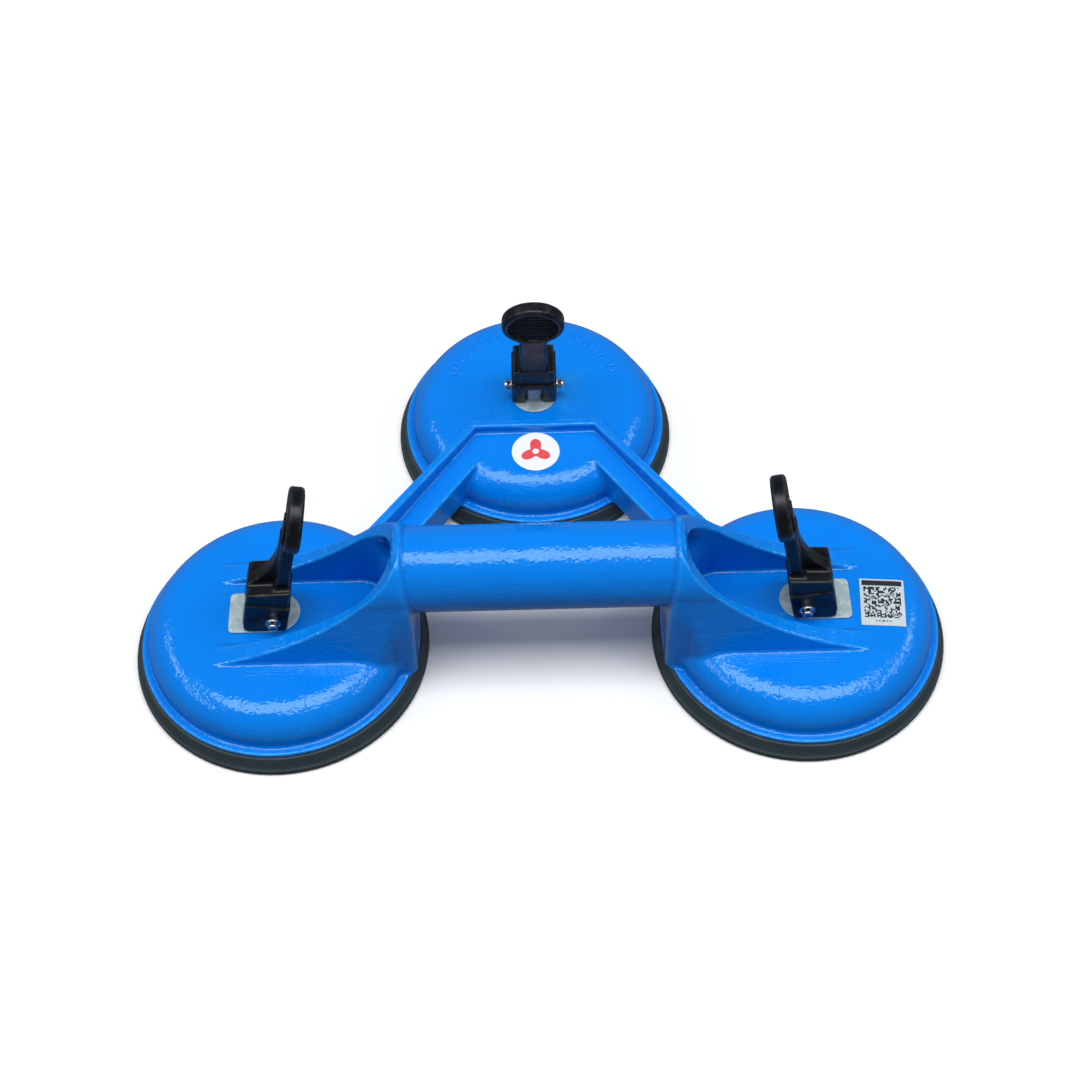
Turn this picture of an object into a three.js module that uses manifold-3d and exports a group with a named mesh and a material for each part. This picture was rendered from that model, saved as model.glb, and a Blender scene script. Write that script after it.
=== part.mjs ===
// Triple suction lifter: a cast frame with a tubular handle on three lever-operated suction cups.
// Millimetres, +Z up. The pads stand on z = 0 and the origin is midway between the cups.
import * as THREE from "three";
import { mergeVertices } from "three/addons/utils/BufferGeometryUtils.js";
import Module from "manifold-3d";

const wasm = await Module();
wasm.setup();

// Layout, seen from above: two cups in front, under the ends of the handle, and one behind.
const CUP_SPAN_X = 211.8; // between the axes of the two front cups
const CUP_SPAN_Y = 110.7; // from the front cups' axes to the rear cup's axis

// Rubber pads.
const PAD_RADIUS = 60;
const PAD_TAPER = 2.4; // how much narrower the top of the rim is
const PAD_HEIGHT = 8.2;
const PAD_LIP_WIDTH = 9; // flat sealing ring at the rim
const PAD_RECESS = 1.2; // how far the middle of the underside is hollowed
const PAD_GROOVES = 2;
const PAD_GROOVE_DEPTH = 0.9;

// Cast domes over the pads.
const FLANGE_INSET = 0.9; // from the pad's upper rim
const FLANGE_WIDTH = 3.7; // of the ledge round the dome
const FLANGE_THICKNESS = 1.8;
const SHOULDER_RADIUS = 13;
const DOME_TOP = 25.5;
const DOME_WALL = 4;

// Handle bar and the hollow risers that carry it.
const BAR_RADIUS = 17;
const BAR_BORE_RADIUS = 12.5;
const BAR_AXIS_Z = 53.9;
const COLLAR_PROUD = 1.6; // step from the bar up to the riser's collar
const COLLAR_STEP = 4; // from the riser's inner face back to the collar's face
const NECK_INSET = 0.3; // from the flange's edge to the riser's inner face
const RISER_TIP_OUT = 25.1; // from the cup's axis out to where the fins run out
const RISER_BASE_HALF = 24; // half width where the riser meets the dome top
const NECK_HALF = 20.3; // half width at the inner face
const NECK_CORNER = 4.5;
const SWEEP_RADIUS = 117; // concave cut from the fin tips up to the collar
const SCOOP_HALF = 15.5; // half width of the open hollow in the riser
const SCOOP_END_WALL = 4.5; // between the hollow's round end and the collar

// Arms from the risers to the rear dome.
const WEB_REAR_HALF = 25.5; // half width of the floor at the rear rib
const WEB_REAR_INSET = 19.7; // from the rear cup's axis forward to the rear rib
const WEB_WIDTH = 12.4; // measured along X
const WEB_FRONT_IN = 32.9; // from the front cup's axis inward to the floor's outer edge
const WEB_THICKNESS = 4;
const ARM_BOTTOM = 10;
const RIB_THICKNESS = 3.8;
const RIB_REAR_HEIGHT = 4.1;
const RIB_FRONT_HEIGHT = 9.4;

// Wear plates, studs and pins.
const PLATE_THICKNESS = 1;
const PLATE_HALF_WIDTH = 9.5;
const PLATE_OUTWARD = 19;
const STUD_SIDE = 6;
const STUD_CLEARANCE = 0.5;
const STUD_EYE_WALL = 1.9; // round the pin
const STUD_HUB_RADIUS = 7;
const STUD_HUB_HEIGHT = 3;
const INSERT_RADIUS = 25;
const INSERT_THICKNESS = 2.4;
const BOSS_RADIUS = 9;
const BOSS_DEPTH = 2.5;
const PIN_RADIUS = 2;
const PIN_CLEARANCE = 0.1; // radial, in the stud and in the lever
const PIN_OVERHANG = 3.3; // past each cheek of the lever
const CLIP_RADIUS = 3.1;
const CLIP_THICKNESS = 0.7;
const CLIP_GROOVE_DEPTH = 0.6;
const CLIP_FACE_GAP = 0.4;

// Levers.
const LEVER_WIDTH = 19.2;
const LEVER_LEAN = THREE.MathUtils.degToRad(12); // inward lean when released
const LEVER_THROW = THREE.MathUtils.degToRad(102); // from released to locked flat
const CAM_LOW = 6.7; // pin height over the wear plate when released
const CAM_HIGH = 11.9; // and when locked
const CAM_STEPS = 24;
const FORK_PLAY = 1; // beside the stud, each side
const SHANK_WIDTH = 11.6;
const SHANK_THICKNESS = 5.4;
const GUSSET_WIDTH = 5;
const PADDLE_RADIUS = 12.8;
const PADDLE_THICKNESS = 6;
const PADDLE_REACH = 56; // from the pin to the paddle's middle
const PADDLE_RIM = 2.2;
const PADDLE_DISH = 0.8;
const PADDLE_GRIPS = 5;
const PADDLE_PROUD = 1.2; // step from the shank's inner face to the paddle's

// Labels.
const LABEL_THICKNESS = 0.25;
const ROUND_LABEL_RADIUS = 10.25;
const ROUND_LABEL_INSET = 30.9; // from the rear cup's axis forward to its middle
const CODE_LABEL_WIDTH = 17.8;
const CODE_LABEL_LENGTH = 22.4;
const CODE_LABEL_OUT = 31.9; // from the right cup's axis outward to its middle
const CODE_LABEL_BACK = -2.2;
const CODE_LABEL_TURN = -0.075;

const GAP = 0.15; // between pieces that rest on or fit in each other
const ROUND = 48; // sides of a full circle on large pieces
const SMALL_ROUND = 16;
const ARC_STEPS = 2; // half the number of edges in an outline's arc
const FAR = 400; // longer than the object, for cutting tools

// Derived places.
const FRONT_Y = -CUP_SPAN_Y / 2;
const REAR_Y = CUP_SPAN_Y / 2;
const FRONT_X = CUP_SPAN_X / 2;
const PAD_TOP_RADIUS = PAD_RADIUS - PAD_TAPER;
const FLANGE_RADIUS = PAD_TOP_RADIUS - FLANGE_INSET;
const DOME_RADIUS = FLANGE_RADIUS - FLANGE_WIDTH;
const RISER_TIP_X = FRONT_X + RISER_TIP_OUT;
const NECK_X = FRONT_X - FLANGE_RADIUS + NECK_INSET;
const COLLAR_X = NECK_X + COLLAR_STEP;
const FLANGE_BOTTOM = PAD_HEIGHT + GAP / 2;
const FLANGE_TOP = FLANGE_BOTTOM + FLANGE_THICKNESS;
const DOME_INNER_TOP = DOME_TOP - DOME_WALL;
const DOME_FLAT_RADIUS = DOME_RADIUS - SHOULDER_RADIUS;
const PLATE_TOP = DOME_TOP + GAP + PLATE_THICKNESS;
const PIN_Z = PLATE_TOP + GAP + CAM_LOW;
const CAM_RATE = (CAM_HIGH - CAM_LOW) / LEVER_THROW; // pin lift for each radian
const INSERT_FLOOR = PAD_HEIGHT - INSERT_THICKNESS - 1;
const INSERT_TOP = INSERT_FLOOR + GAP + INSERT_THICKNESS;
const STUD_EYE_RADIUS = PIN_RADIUS + STUD_EYE_WALL;
const FORK_SLOT = STUD_SIDE + 2 * FORK_PLAY;
const REAR_RIB_Y = REAR_Y - WEB_REAR_INSET;
const ARM_FRONT_Y = FRONT_Y + RISER_BASE_HALF;
const WEB_SLOPE = (REAR_RIB_Y - ARM_FRONT_Y) / (FRONT_X - WEB_FRONT_IN - WEB_REAR_HALF);

const material = (color, roughness, metalness) =>
  new THREE.MeshStandardMaterial({ color, roughness, metalness });
const paint = material(0x0a7be8, 0.35, 0.1);
const rubber = material(0x15181a, 0.75, 0);
const plastic = material(0x0d0e10, 0.45, 0);
const zinc = material(0xb4bebe, 0.4, 0.9);
const paper = material(0xf2f2f0, 0.6, 0);

// ---- Solids -------------------------------------------------------------------------------

function solidOf(geometry) {
  const bare = geometry.index ? geometry.toNonIndexed() : geometry.clone();
  bare.deleteAttribute("normal");
  bare.deleteAttribute("uv");
  const merged = mergeVertices(bare, 1e-4);
  const index = merged.index.array;
  const triangles = [];
  for (let i = 0; i < index.length; i += 3) {
    const [a, b, c] = index.slice(i, i + 3);
    if (a !== b && b !== c && c !== a) triangles.push(a, b, c);
  }
  return new wasm.Manifold(
    new wasm.Mesh({
      numProp: 3,
      vertProperties: merged.attributes.position.array,
      triVerts: new Uint32Array(triangles),
    }),
  );
}

function geometryOf(solid) {
  const { numProp, vertProperties, triVerts } = solid.getMesh();
  const positions = new Float32Array((vertProperties.length / numProp) * 3);
  for (let i = 0; i < positions.length / 3; i++)
    positions.set(vertProperties.subarray(i * numProp, i * numProp + 3), i * 3);
  const geometry = new THREE.BufferGeometry();
  geometry.setAttribute("position", new THREE.BufferAttribute(positions, 3));
  geometry.setIndex(new THREE.BufferAttribute(triVerts, 1));
  geometry.computeVertexNormals();
  return geometry;
}

const join = (...solids) => solids.reduce((whole, piece) => whole.add(piece));
const cut = (whole, ...tools) => tools.reduce((rest, tool) => rest.subtract(tool), whole);

// A body of revolution about Z; the profile is a shape of (radius, z).
function turned(profile, sides = ROUND) {
  const geometry = new THREE.LatheGeometry(profile.getPoints(ARC_STEPS), sides);
  return solidOf(geometry.rotateX(Math.PI / 2));
}

// A disc about Z between two heights, or a ring when it has an inner radius.
function ring(outer, inner, low, high, sides = ROUND) {
  const profile = new THREE.Shape();
  profile.moveTo(inner, low);
  profile.lineTo(outer, low);
  profile.lineTo(outer, high);
  profile.lineTo(inner, high);
  if (inner > 0) profile.lineTo(inner, low);
  return turned(profile, sides);
}

// An outline seen from above, from one height to another.
function slab(outline, low, high, curveSegments = ARC_STEPS) {
  const options = { depth: high - low, bevelEnabled: false, curveSegments };
  return solidOf(new THREE.ExtrudeGeometry(outline, options).translate(0, 0, low));
}

// An outline in X and Z, spread evenly to both sides of y = 0.
function plate(outline, width, curveSegments = 2 * ARC_STEPS) {
  const options = { depth: width, bevelEnabled: false, curveSegments };
  const geometry = new THREE.ExtrudeGeometry(outline, options);
  geometry.rotateX(Math.PI / 2);
  return solidOf(geometry.translate(0, width / 2, 0));
}

// An outline in Y and Z, from one x to another.
function beam(outline, start, end, curveSegments = 4 * ARC_STEPS) {
  const options = { depth: end - start, bevelEnabled: false, curveSegments };
  const geometry = new THREE.ExtrudeGeometry(outline, options);
  geometry.rotateX(Math.PI / 2);
  geometry.rotateZ(Math.PI / 2);
  return solidOf(geometry.translate(start, 0, 0));
}

function block(sizeX, sizeY, sizeZ, x, y, z) {
  return solidOf(new THREE.BoxGeometry(sizeX, sizeY, sizeZ).translate(x, y, z));
}

function rod(radius, from, to, sides = SMALL_ROUND) {
  const along = new THREE.Vector3().subVectors(to, from);
  const geometry = new THREE.CylinderGeometry(radius, radius, along.length(), sides);
  const up = new THREE.Vector3(0, 1, 0);
  const turn = new THREE.Quaternion().setFromUnitVectors(up, along.clone().normalize());
  geometry.applyQuaternion(turn);
  const middle = new THREE.Vector3().addVectors(from, to).multiplyScalar(0.5);
  return solidOf(geometry.translate(middle.x, middle.y, middle.z));
}

const outlineOf = (points) => new THREE.Shape(points.map(([a, b]) => new THREE.Vector2(a, b)));

// ---- The three stations -------------------------------------------------------------------
// Each cup is built at the origin with +X pointing inward, then turned and moved to its place.

const CUPS = [
  { name: "left", x: -FRONT_X, y: FRONT_Y, turn: 0 },
  { name: "right", x: FRONT_X, y: FRONT_Y, turn: Math.PI },
  { name: "rear", x: 0, y: REAR_Y, turn: -Math.PI / 2 },
];

const moved = (solid, x, y) => solid.translate([x, y, 0]);
const placed = (solid, cup) =>
  moved(solid.rotate([0, 0, THREE.MathUtils.radToDeg(cup.turn)]), cup.x, cup.y);

// ---- Casting ------------------------------------------------------------------------------

function domeBody() {
  const shoulderZ = DOME_TOP - SHOULDER_RADIUS;
  const lip = FLANGE_THICKNESS / 3;
  const profile = new THREE.Shape();
  profile.moveTo(0, FLANGE_BOTTOM);
  profile.lineTo(FLANGE_RADIUS, FLANGE_BOTTOM);
  profile.lineTo(FLANGE_RADIUS, FLANGE_TOP - lip);
  profile.lineTo(FLANGE_RADIUS - lip, FLANGE_TOP);
  profile.lineTo(DOME_RADIUS, FLANGE_TOP);
  profile.absarc(DOME_FLAT_RADIUS, shoulderZ, SHOULDER_RADIUS, 0, Math.PI / 2);
  profile.lineTo(0, DOME_TOP);
  return turned(profile);
}

// The hollow under a dome, with a boss left in the middle to guide the stud.
function domeHollow() {
  const inner = SHOULDER_RADIUS - DOME_WALL;
  const profile = new THREE.Shape();
  profile.moveTo(0, FLANGE_BOTTOM - 1);
  profile.lineTo(DOME_FLAT_RADIUS + inner, FLANGE_BOTTOM - 1);
  profile.absarc(DOME_FLAT_RADIUS, DOME_INNER_TOP - inner, inner, 0, Math.PI / 2);
  profile.lineTo(0, DOME_INNER_TOP);
  const boss = ring(BOSS_RADIUS, 0, DOME_INNER_TOP - BOSS_DEPTH, DOME_INNER_TOP + 1, SMALL_ROUND);
  return cut(turned(profile), boss);
}

// Half width of the riser's tapered sides at a height.
const riserHalf = (z) => {
  const run = (RISER_BASE_HALF - BAR_RADIUS - COLLAR_PROUD) / (BAR_AXIS_Z - DOME_TOP);
  return BAR_RADIUS + COLLAR_PROUD + run * (BAR_AXIS_Z - z);
};

function riserArch() {
  const outline = new THREE.Shape();
  outline.moveTo(-riserHalf(FLANGE_BOTTOM), FLANGE_BOTTOM);
  outline.lineTo(riserHalf(FLANGE_BOTTOM), FLANGE_BOTTOM);
  outline.lineTo(riserHalf(BAR_AXIS_Z), BAR_AXIS_Z);
  outline.absarc(0, BAR_AXIS_Z, riserHalf(BAR_AXIS_Z), 0, Math.PI);
  return beam(outline, -RISER_TIP_X, -NECK_X);
}

// Centre of the concave sweep: it passes the fin tips and the top of the collar.
function sweepCentre() {
  const tip = new THREE.Vector2(-RISER_TIP_X, DOME_TOP);
  const top = new THREE.Vector2(-COLLAR_X, BAR_AXIS_Z + BAR_RADIUS + COLLAR_PROUD);
  const chord = new THREE.Vector2().subVectors(top, tip);
  const rise = Math.sqrt(SWEEP_RADIUS ** 2 - chord.lengthSq() / 4);
  const normal = new THREE.Vector2(-chord.y, chord.x).normalize();
  return tip.clone().add(top).multiplyScalar(0.5).addScaledVector(normal, rise);
}

function riserSide() {
  const centre = sweepCentre();
  const top = BAR_AXIS_Z + BAR_RADIUS + COLLAR_PROUD;
  const start = Math.atan2(DOME_TOP - centre.y, -RISER_TIP_X - centre.x);
  const end = Math.atan2(top - centre.y, -COLLAR_X - centre.x);
  const outline = new THREE.Shape();
  outline.moveTo(-RISER_TIP_X, FLANGE_BOTTOM - 1);
  outline.lineTo(-RISER_TIP_X, DOME_TOP);
  outline.absarc(centre.x, centre.y, SWEEP_RADIUS, start, end);
  outline.lineTo(-NECK_X - 1, BAR_AXIS_Z - BAR_RADIUS / 2);
  outline.lineTo(-NECK_X, BAR_AXIS_Z - BAR_RADIUS);
  outline.lineTo(-NECK_X, FLANGE_BOTTOM - 1);
  return plate(outline, FAR);
}

function riserPlan() {
  const wide = riserHalf(FLANGE_BOTTOM) + 1;
  const outline = new THREE.Shape();
  outline.moveTo(-RISER_TIP_X - 1, -wide);
  outline.lineTo(-COLLAR_X - SCOOP_HALF, -wide);
  outline.lineTo(-NECK_X - 2 * NECK_CORNER, -NECK_HALF - 0.8);
  outline.absarc(-NECK_X - NECK_CORNER, NECK_CORNER - NECK_HALF, NECK_CORNER, -Math.PI / 2, 0);
  outline.absarc(-NECK_X - NECK_CORNER, NECK_HALF - NECK_CORNER, NECK_CORNER, 0, Math.PI / 2);
  outline.lineTo(-NECK_X - 2 * NECK_CORNER, NECK_HALF + 0.8);
  outline.lineTo(-COLLAR_X - SCOOP_HALF, wide);
  outline.lineTo(-RISER_TIP_X - 1, wide);
  return slab(outline, 0, FAR);
}

const riser = () => riserArch().intersect(riserSide()).intersect(riserPlan());

// The open hollow of a riser, with a round end towards the bar.
function scoop() {
  const end = -COLLAR_X - SCOOP_END_WALL - SCOOP_HALF;
  const outline = new THREE.Shape();
  outline.moveTo(-RISER_TIP_X - 1, -SCOOP_HALF);
  outline.lineTo(end, -SCOOP_HALF);
  outline.absarc(end, 0, SCOOP_HALF, -Math.PI / 2, Math.PI / 2);
  outline.lineTo(-RISER_TIP_X - 1, SCOOP_HALF);
  return slab(outline, DOME_TOP, FAR, 4 * ARC_STEPS);
}

// Edge of an arm's floor: x at a given y, measured on the right-hand side.
const armEdge = (y, offset = 0) =>
  WEB_REAR_HALF + (REAR_RIB_Y - y) / WEB_SLOPE + offset;

// A strip of one arm between two offsets from the outer edge of its floor.
function armStrip(side, from, to, rearY, low, high) {
  const frontY = FRONT_Y + SCOOP_HALF;
  const corners = [
    [side * armEdge(rearY, from), rearY],
    [side * armEdge(rearY, to), rearY],
    [side * armEdge(frontY, to), frontY],
    [side * armEdge(frontY, from), frontY],
  ];
  return slab(outlineOf(corners), low, high);
}

const RIB_SPAN_X = RIB_THICKNESS * Math.hypot(1, 1 / WEB_SLOPE);

// The floors of both arms with their outer walls, closed by the rear rib.
function arms() {
  const rearY = REAR_RIB_Y + RIB_THICKNESS;
  const middle = REAR_RIB_Y + RIB_THICKNESS / 2;
  const half = armEdge(rearY, RIB_SPAN_X);
  const rear = block(2 * half, RIB_THICKNESS, 2 * RIB_REAR_HEIGHT, 0, middle, DOME_TOP);
  const top = DOME_TOP + 2 * RIB_FRONT_HEIGHT;
  const sides = [-1, 1].map((side) =>
    join(
      armStrip(side, -WEB_WIDTH, RIB_SPAN_X / 2, REAR_RIB_Y, ARM_BOTTOM, DOME_TOP),
      armStrip(side, 0, RIB_SPAN_X, rearY, ARM_BOTTOM, top),
    ),
  );
  return cut(join(rear, ...sides), ribSlope());
}

// Takes the walls down to a slope that rises from the rear rib towards the risers.
function ribSlope() {
  const rise = (RIB_FRONT_HEIGHT - RIB_REAR_HEIGHT) / (REAR_RIB_Y - ARM_FRONT_Y);
  const low = DOME_TOP + RIB_REAR_HEIGHT;
  const start = FRONT_Y - FAR / 4;
  const outline = outlineOf([
    [start, low + rise * (REAR_RIB_Y - start)],
    [REAR_RIB_Y, low],
    [REAR_RIB_Y + FAR / 4, low],
    [REAR_RIB_Y + FAR / 4, FAR],
    [start, FAR],
  ]);
  return beam(outline, -FAR / 2, FAR / 2);
}

// The arms are open channels underneath; the hollow stops at the dome and at the riser.
function armHollow(side) {
  const wall = DOME_WALL * Math.hypot(1, 1 / WEB_SLOPE);
  const high = DOME_TOP - WEB_THICKNESS;
  return armStrip(side, wall - WEB_WIDTH, RIB_SPAN_X - wall, REAR_RIB_Y, ARM_BOTTOM - 1, high);
}

function casting() {
  const [left, right, rear] = CUPS;
  const body = domeBody();
  const rearBody = moved(body, rear.x, rear.y);
  const leftRiser = moved(riser(), 0, FRONT_Y);
  const half = (solid) => join(solid, solid.rotate([0, 0, 180]).translate([0, 2 * FRONT_Y, 0]));
  const risers = half(leftRiser);
  const bar = rod(
    BAR_RADIUS,
    new THREE.Vector3(-COLLAR_X - 1, FRONT_Y, BAR_AXIS_Z),
    new THREE.Vector3(COLLAR_X + 1, FRONT_Y, BAR_AXIS_Z),
    36,
  );
  const bore = rod(
    BAR_BORE_RADIUS,
    new THREE.Vector3(-COLLAR_X - 2 * SCOOP_END_WALL, FRONT_Y, BAR_AXIS_Z),
    new THREE.Vector3(COLLAR_X + 2 * SCOOP_END_WALL, FRONT_Y, BAR_AXIS_Z),
    24,
  );
  const channels = [-1, 1].map((side) =>
    cut(armHollow(side), rearBody, risers, ...[left, right].map((cup) => moved(body, cup.x, cup.y))),
  );
  const domes = CUPS.map((cup) => moved(body, cup.x, cup.y));
  const outside = cut(join(arms(), ...domes), ...channels);
  const hollows = CUPS.map((cup) => moved(domeHollow(), cup.x, cup.y));
  const scoops = half(moved(scoop(), 0, FRONT_Y));
  return cut(join(outside, risers, bar), ...hollows, scoops, bore, ...CUPS.map(studHole));
}

const squareHole = (low, high) => {
  const side = STUD_SIDE + 2 * STUD_CLEARANCE;
  return block(side, side, high - low, 0, 0, (low + high) / 2);
};

const studHole = (cup) => placed(squareHole(DOME_INNER_TOP - BOSS_DEPTH - 1, DOME_TOP + 1), cup);

// ---- Cup pieces, built at the origin ------------------------------------------------------

function pad() {
  const inner = PAD_RADIUS - PAD_LIP_WIDTH;
  const profile = new THREE.Shape();
  profile.moveTo(0, PAD_RECESS);
  profile.lineTo(inner - PAD_RECESS, PAD_RECESS);
  profile.lineTo(inner, 0);
  profile.lineTo(PAD_RADIUS - 0.5, 0);
  profile.lineTo(PAD_RADIUS, 0.6);
  profile.lineTo(PAD_RADIUS, 2);
  profile.lineTo(PAD_TOP_RADIUS, PAD_HEIGHT);
  profile.lineTo(INSERT_RADIUS + GAP, PAD_HEIGHT);
  profile.lineTo(INSERT_RADIUS + GAP, INSERT_FLOOR);
  profile.lineTo(0, INSERT_FLOOR);
  const grooves = [...Array(PAD_GROOVES).keys()].map((i) => {
    const radius = (inner * (i + 1)) / (PAD_GROOVES + 1);
    return ring(radius + 1, radius - 1, -1, PAD_RECESS + PAD_GROOVE_DEPTH);
  });
  return cut(turned(profile), ...grooves);
}

const padInsert = () => ring(INSERT_RADIUS, 0, INSERT_FLOOR + GAP, INSERT_TOP);

function wearPlate() {
  const corner = 2;
  const outline = new THREE.Shape();
  outline.moveTo(0, -PLATE_HALF_WIDTH);
  outline.absarc(0, 0, PLATE_HALF_WIDTH, -Math.PI / 2, Math.PI / 2);
  outline.absarc(corner - PLATE_OUTWARD, PLATE_HALF_WIDTH - corner, corner, Math.PI / 2, Math.PI);
  outline.absarc(corner - PLATE_OUTWARD, corner - PLATE_HALF_WIDTH, corner, Math.PI, 1.5 * Math.PI);
  const low = DOME_TOP + GAP;
  return cut(slab(outline, low, PLATE_TOP), squareHole(low - 1, PLATE_TOP + 1));
}

// Hub on the insert, square shank and a rounded eye for the pin.
function pullStud() {
  const low = INSERT_TOP + GAP;
  const shank = block(STUD_SIDE, STUD_SIDE, PIN_Z - low, 0, 0, (PIN_Z + low) / 2);
  const across = new THREE.Vector3(0, STUD_SIDE / 2, 0);
  const pinMiddle = new THREE.Vector3(0, 0, PIN_Z);
  const from = pinMiddle.clone().sub(across);
  const to = pinMiddle.clone().add(across);
  const eye = rod(STUD_EYE_RADIUS, from, to);
  const hub = ring(STUD_HUB_RADIUS, 0, low, low + STUD_HUB_HEIGHT, SMALL_ROUND);
  return cut(join(hub, shank, eye), pinTool(PIN_RADIUS + PIN_CLEARANCE));
}

const PIN_HALF = LEVER_WIDTH / 2 + PIN_OVERHANG;

// A rod along Y through the pin's place.
function pinTool(radius, half = PIN_HALF + 1, sides = SMALL_ROUND) {
  const from = new THREE.Vector3(0, -half, PIN_Z);
  return rod(radius, from, new THREE.Vector3(0, half, PIN_Z), sides);
}

const CLIP_Y = LEVER_WIDTH / 2 + CLIP_FACE_GAP + CLIP_THICKNESS / 2;

// A ring about the pin's axis at a distance y along it.
function pinRing(outer, inner, y, thickness) {
  const turn = new THREE.Matrix4().makeRotationX(Math.PI / 2).setPosition(0, y, PIN_Z);
  return ring(outer, inner, -thickness / 2, thickness / 2, SMALL_ROUND).transform(turn.elements);
}

function pivotPin() {
  const grooveFloor = PIN_RADIUS - CLIP_GROOVE_DEPTH;
  const groove = (y) => pinRing(PIN_RADIUS + 1, grooveFloor, y, CLIP_THICKNESS + 2 * GAP);
  return cut(pinTool(PIN_RADIUS, PIN_HALF), groove(CLIP_Y), groove(-CLIP_Y));
}

// A retaining ring with its mouth turned up.
function pinClip(side) {
  const bore = PIN_RADIUS - CLIP_GROOVE_DEPTH + GAP;
  const whole = pinRing(CLIP_RADIUS, bore, side * CLIP_Y, CLIP_THICKNESS);
  const mouth = 1.6 * bore;
  return cut(whole, block(mouth, mouth, CLIP_RADIUS, 0, side * CLIP_Y, PIN_Z + CLIP_RADIUS / 2 + 0.6));
}

// ---- Lever, with the pin's axis at the origin and +X inward -------------------------------

// A point on the lever from its distance along the arm and across it, inward positive.
const armPoint = (along, across) => [
  along * Math.sin(LEVER_LEAN) + across * Math.cos(LEVER_LEAN),
  along * Math.cos(LEVER_LEAN) - across * Math.sin(LEVER_LEAN),
];

// The cam's support distance grows evenly with the turn, so the pin rises in step with the lever.
function camPoint(turn) {
  const reach = CAM_LOW + CAM_RATE * turn;
  return [
    -reach * Math.sin(turn) - CAM_RATE * Math.cos(turn),
    -reach * Math.cos(turn) + CAM_RATE * Math.sin(turn),
  ];
}

const SHANK_INNER = 4.2; // inner face of the shank from the pin's axis, across the arm
const BLOCK_INNER = 5.9;
const BLOCK_TOP_INNER = 19;
const BLOCK_TOP_OUTER = 14.6;

function leverBlock() {
  const cam = [...Array(CAM_STEPS + 1).keys()].map((i) => camPoint((LEVER_THROW * i) / CAM_STEPS));
  const outline = outlineOf([
    [BLOCK_INNER - 2, -CAM_LOW],
    ...cam,
    armPoint(BLOCK_TOP_OUTER, -CAM_HIGH),
    armPoint(BLOCK_TOP_INNER, BLOCK_INNER),
    armPoint(-CAM_LOW + 3.5, BLOCK_INNER),
    [BLOCK_INNER - 0.8, -CAM_LOW + 0.9],
  ]);
  return plate(outline, LEVER_WIDTH);
}

// Room for the stud, which swings from under the pin to the outer side of the block.
function forkSlot() {
  const top = STUD_EYE_RADIUS + STUD_CLEARANCE;
  const outline = outlineOf([
    [2 * CAM_HIGH, -2 * CAM_HIGH],
    [2 * CAM_HIGH, top],
    [0, top],
    [-2 * CAM_HIGH, top + 2 * CAM_HIGH * Math.tan(LEVER_THROW - Math.PI / 2)],
    [-2 * CAM_HIGH, -2 * CAM_HIGH],
  ]);
  return plate(outline, FORK_SLOT).translate([0, 0, PIN_Z]);
}

function leverShank() {
  const outline = outlineOf([
    armPoint(BLOCK_TOP_INNER - 5, SHANK_INNER),
    armPoint(PADDLE_REACH, SHANK_INNER),
    armPoint(PADDLE_REACH, SHANK_INNER - SHANK_THICKNESS),
    armPoint(BLOCK_TOP_INNER - 5, SHANK_INNER - SHANK_THICKNESS),
  ]);
  return plate(outline, SHANK_WIDTH);
}

// A curved rib behind the shank, from the block's outer edge up to the paddle.
function leverGusset() {
  const outer = SHANK_INNER - SHANK_THICKNESS;
  const outline = new THREE.Shape();
  outline.moveTo(...armPoint(BLOCK_TOP_INNER - 5, outer + 1));
  outline.lineTo(...armPoint(PADDLE_REACH - PADDLE_RADIUS + 1, outer + 1));
  outline.lineTo(...armPoint(PADDLE_REACH - PADDLE_RADIUS + 1, outer - 0.6));
  outline.quadraticCurveTo(
    ...armPoint(BLOCK_TOP_OUTER + 8, outer - 1.2),
    ...armPoint(BLOCK_TOP_OUTER + 0.6, -CAM_HIGH + 0.8),
  );
  outline.lineTo(...armPoint(BLOCK_TOP_OUTER - 4, -CAM_HIGH + 1.5));
  return plate(outline, GUSSET_WIDTH);
}

// The thumb paddle: a disc across the arm with a raised rim and grip ridges on its inner face.
function leverPaddle() {
  const inner = SHANK_INNER + PADDLE_PROUD;
  const half = PADDLE_THICKNESS / 2;
  const disc = ring(PADDLE_RADIUS, 0, -half, half, 2 * SMALL_ROUND);
  const field = ring(PADDLE_RADIUS - PADDLE_RIM, 0, half - PADDLE_DISH, half + 1, 2 * SMALL_ROUND);
  const pitch = (2 * (PADDLE_RADIUS - PADDLE_RIM)) / (PADDLE_GRIPS + 1);
  const grips = [...Array(PADDLE_GRIPS).keys()].map((i) => {
    const x = (i - (PADDLE_GRIPS - 1) / 2) * pitch;
    const length = 2 * Math.sqrt((PADDLE_RADIUS - PADDLE_RIM) ** 2 - x * x) + 0.6;
    return block(pitch * 0.45, length, PADDLE_DISH, x, 0, half - PADDLE_DISH * 0.6);
  });
  const flat = join(cut(disc, field), ...grips);
  const place = new THREE.Matrix4().makeRotationY(Math.PI / 2 + LEVER_LEAN);
  const [x, z] = armPoint(PADDLE_REACH, inner - half);
  return flat.transform(place.setPosition(x, 0, z).elements);
}

function lever() {
  const body = join(leverBlock(), leverShank(), leverGusset(), leverPaddle());
  return cut(body.translate([0, 0, PIN_Z]), forkSlot(), pinTool(PIN_RADIUS + PIN_CLEARANCE));
}

// ---- Labels -------------------------------------------------------------------------------

function roundLabel() {
  const low = DOME_TOP + GAP;
  const disc = ring(ROUND_LABEL_RADIUS, 0, low, low + LABEL_THICKNESS, 2 * SMALL_ROUND);
  return moved(disc, 0, REAR_Y - ROUND_LABEL_INSET);
}

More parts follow.
